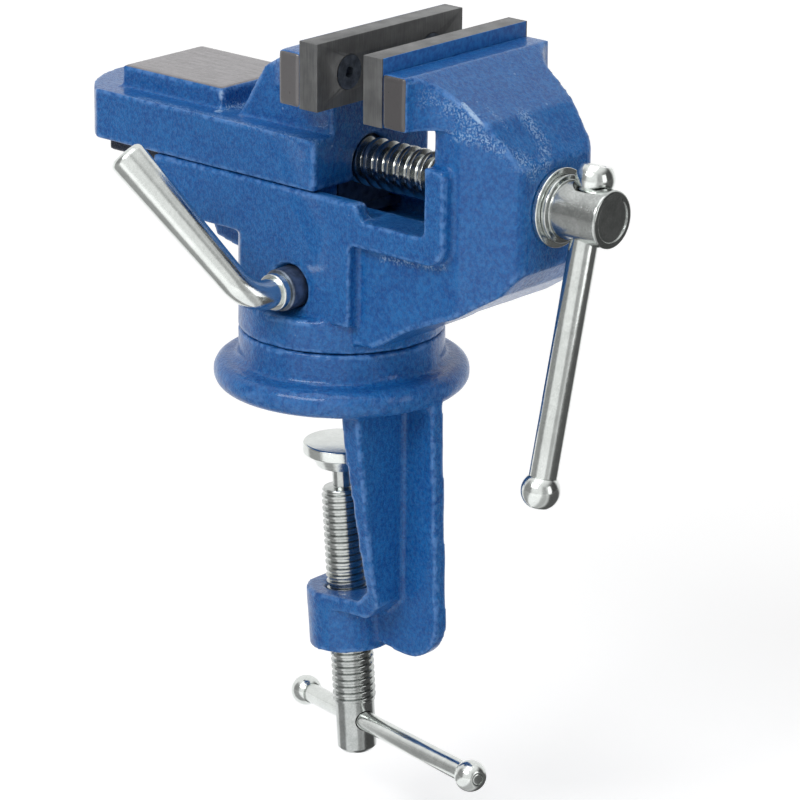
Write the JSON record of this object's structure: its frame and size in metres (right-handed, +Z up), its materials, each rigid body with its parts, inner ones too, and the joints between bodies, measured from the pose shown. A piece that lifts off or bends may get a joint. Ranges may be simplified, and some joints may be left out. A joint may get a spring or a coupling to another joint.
{
  "type": "swivel table vise",
  "caption": "Swivel bench vise with an anvil and a screw clamp that grips a table edge, moved by a main screw with a sliding handle.",
  "frame": {"origin": "centre of the underside of the seat flange, on the swivel axis, where the vise stands on the table top", "axes": "+Z up along the swivel axis, +X along the main screw towards its handle, -Y towards the swivel lock lever"},
  "size_m": [0.183, 0.0953, 0.2183],
  "materials": {
    "blue_hammered_paint": "glossy blue hammered paint on cast iron, bare on the anvil and the jaw ends",
    "jaw_steel": "ground steel, slightly dull",
    "bright_plated_steel": "bright nickel plating",
    "dark_steel": "oiled dark steel"
  },
  "bodies": {
    "clamp_base": {"clamp_frame": "blue_hammered_paint"},
    "swivel_head": {"swivel_body": "blue_hammered_paint", "fixed_jaw_plate": "jaw_steel", "fixed_plate_screws": "dark_steel"},
    "jaw_carriage": {"sliding_jaw": "blue_hammered_paint", "moving_jaw_plate": "jaw_steel", "moving_plate_screws": "dark_steel", "slide_nut": "dark_steel", "slide_keeper": "dark_steel", "keeper_screws": "dark_steel"},
    "vise_screw": {"main_screw": "bright_plated_steel", "thrust_washer": "bright_plated_steel", "retaining_collar": "bright_plated_steel", "collar_pin": "dark_steel"},
    "vise_handle": {"main_handle": "bright_plated_steel", "handle_end_lower": "bright_plated_steel", "handle_end_upper": "bright_plated_steel"},
    "lock_foot": {"lock_shoe": "dark_steel"},
    "lock_handle": {"lock_bolt": "dark_steel", "lever_ring": "bright_plated_steel", "lock_lever": "bright_plated_steel"},
    "table_pad": {"clamp_pad": "bright_plated_steel"},
    "table_screw": {"clamp_screw": "bright_plated_steel"},
    "table_bar": {"clamp_bar": "bright_plated_steel", "clamp_bar_end_short": "bright_plated_steel", "clamp_bar_end_long": "bright_plated_steel"}
  },
  "joints": [
    {"name": "swivel", "type": "hinge", "parent": "clamp_base", "child": "swivel_head", "pos_m": [0, 0, 0.03], "axis": [0, 0, 1], "continuous": true},
    {"name": "jaw_slide", "type": "slide", "parent": "swivel_head", "child": "jaw_carriage", "axis": [1, 0, 0], "range_m": [-0.0335, 0.0165]},
    {"name": "screw_turn", "type": "hinge", "parent": "swivel_head", "child": "vise_screw", "pos_m": [0.0645, 0, 0.0668], "axis": [1, 0, 0], "range_deg": [-1486, 3016]},
    {"name": "handle_slide", "type": "slide", "parent": "vise_screw", "child": "vise_handle", "axis": [0, 0.2368, 0.9715], "range_m": [0, 0.0632]},
    {"name": "lock_press", "type": "slide", "parent": "swivel_head", "child": "lock_foot", "axis": [0, -1, 0], "range_m": [0, 0.000394]},
    {"name": "lock_turn", "type": "hinge", "parent": "lock_foot", "child": "lock_handle", "pos_m": [0.002, -0.024, 0.0337], "axis": [0, -1, 0], "range_deg": [-1, 82]},
    {"name": "pad_travel", "type": "slide", "parent": "clamp_base", "child": "table_pad", "axis": [-0.0785, 0, 0.9969], "range_m": [-0.03, 0.014]},
    {"name": "clamp_turn", "type": "hinge", "parent": "table_pad", "child": "table_screw", "pos_m": [-0.00004, 0, -0.0234], "axis": [-0.0785, 0, 0.9969], "range_deg": [-5401, 2521]},
    {"name": "bar_slide", "type": "slide", "parent": "table_screw", "child": "table_bar", "axis": [0.9549, -0.2874, 0.0751], "range_m": [-0.052, 0.0185]}
  ],
  "couplings": [
    {"joint": "screw_turn", "follows": "jaw_slide", "rad_per_m": -1570.8},
    {"joint": "lock_turn", "follows": "lock_press", "rad_per_m": 3590.4},
    {"joint": "clamp_turn", "follows": "pad_travel", "rad_per_m": 3141.6}
  ]
}
